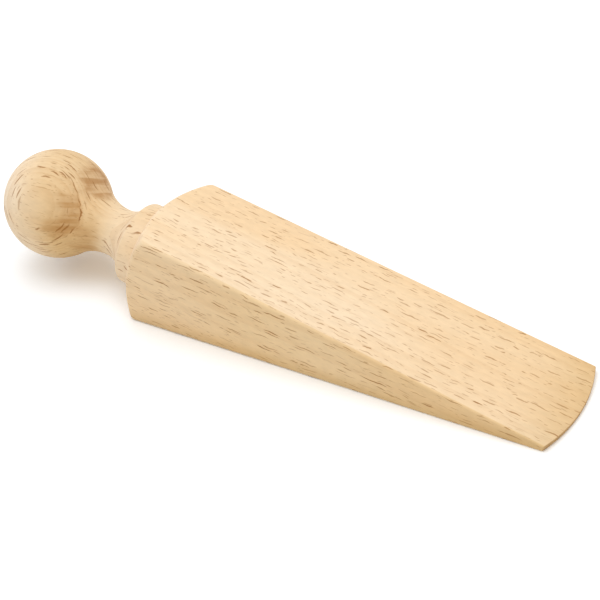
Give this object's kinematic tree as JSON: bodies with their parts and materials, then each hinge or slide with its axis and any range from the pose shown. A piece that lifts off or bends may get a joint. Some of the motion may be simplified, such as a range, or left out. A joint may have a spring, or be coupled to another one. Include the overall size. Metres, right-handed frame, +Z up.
{
  "type": "door wedge",
  "caption": "Tapered beech door wedge with a domed thick end and a turned ball knob to pull it out by.",
  "frame": {"origin": "on the sole's plane, on the centre line, straight below the corners of the thick end", "axes": "+X along the sole towards the thin tip, +Y across the wedge, +Z up from the floor; the knob is at -X"},
  "size_m": [0.2074, 0.04, 0.0415],
  "materials": {
    "beech": "planed and sanded beech, unfinished, matt"
  },
  "bodies": {
    "root": {"wedge_block": "beech", "turned_knob": "beech"}
  },
  "joints": []
}
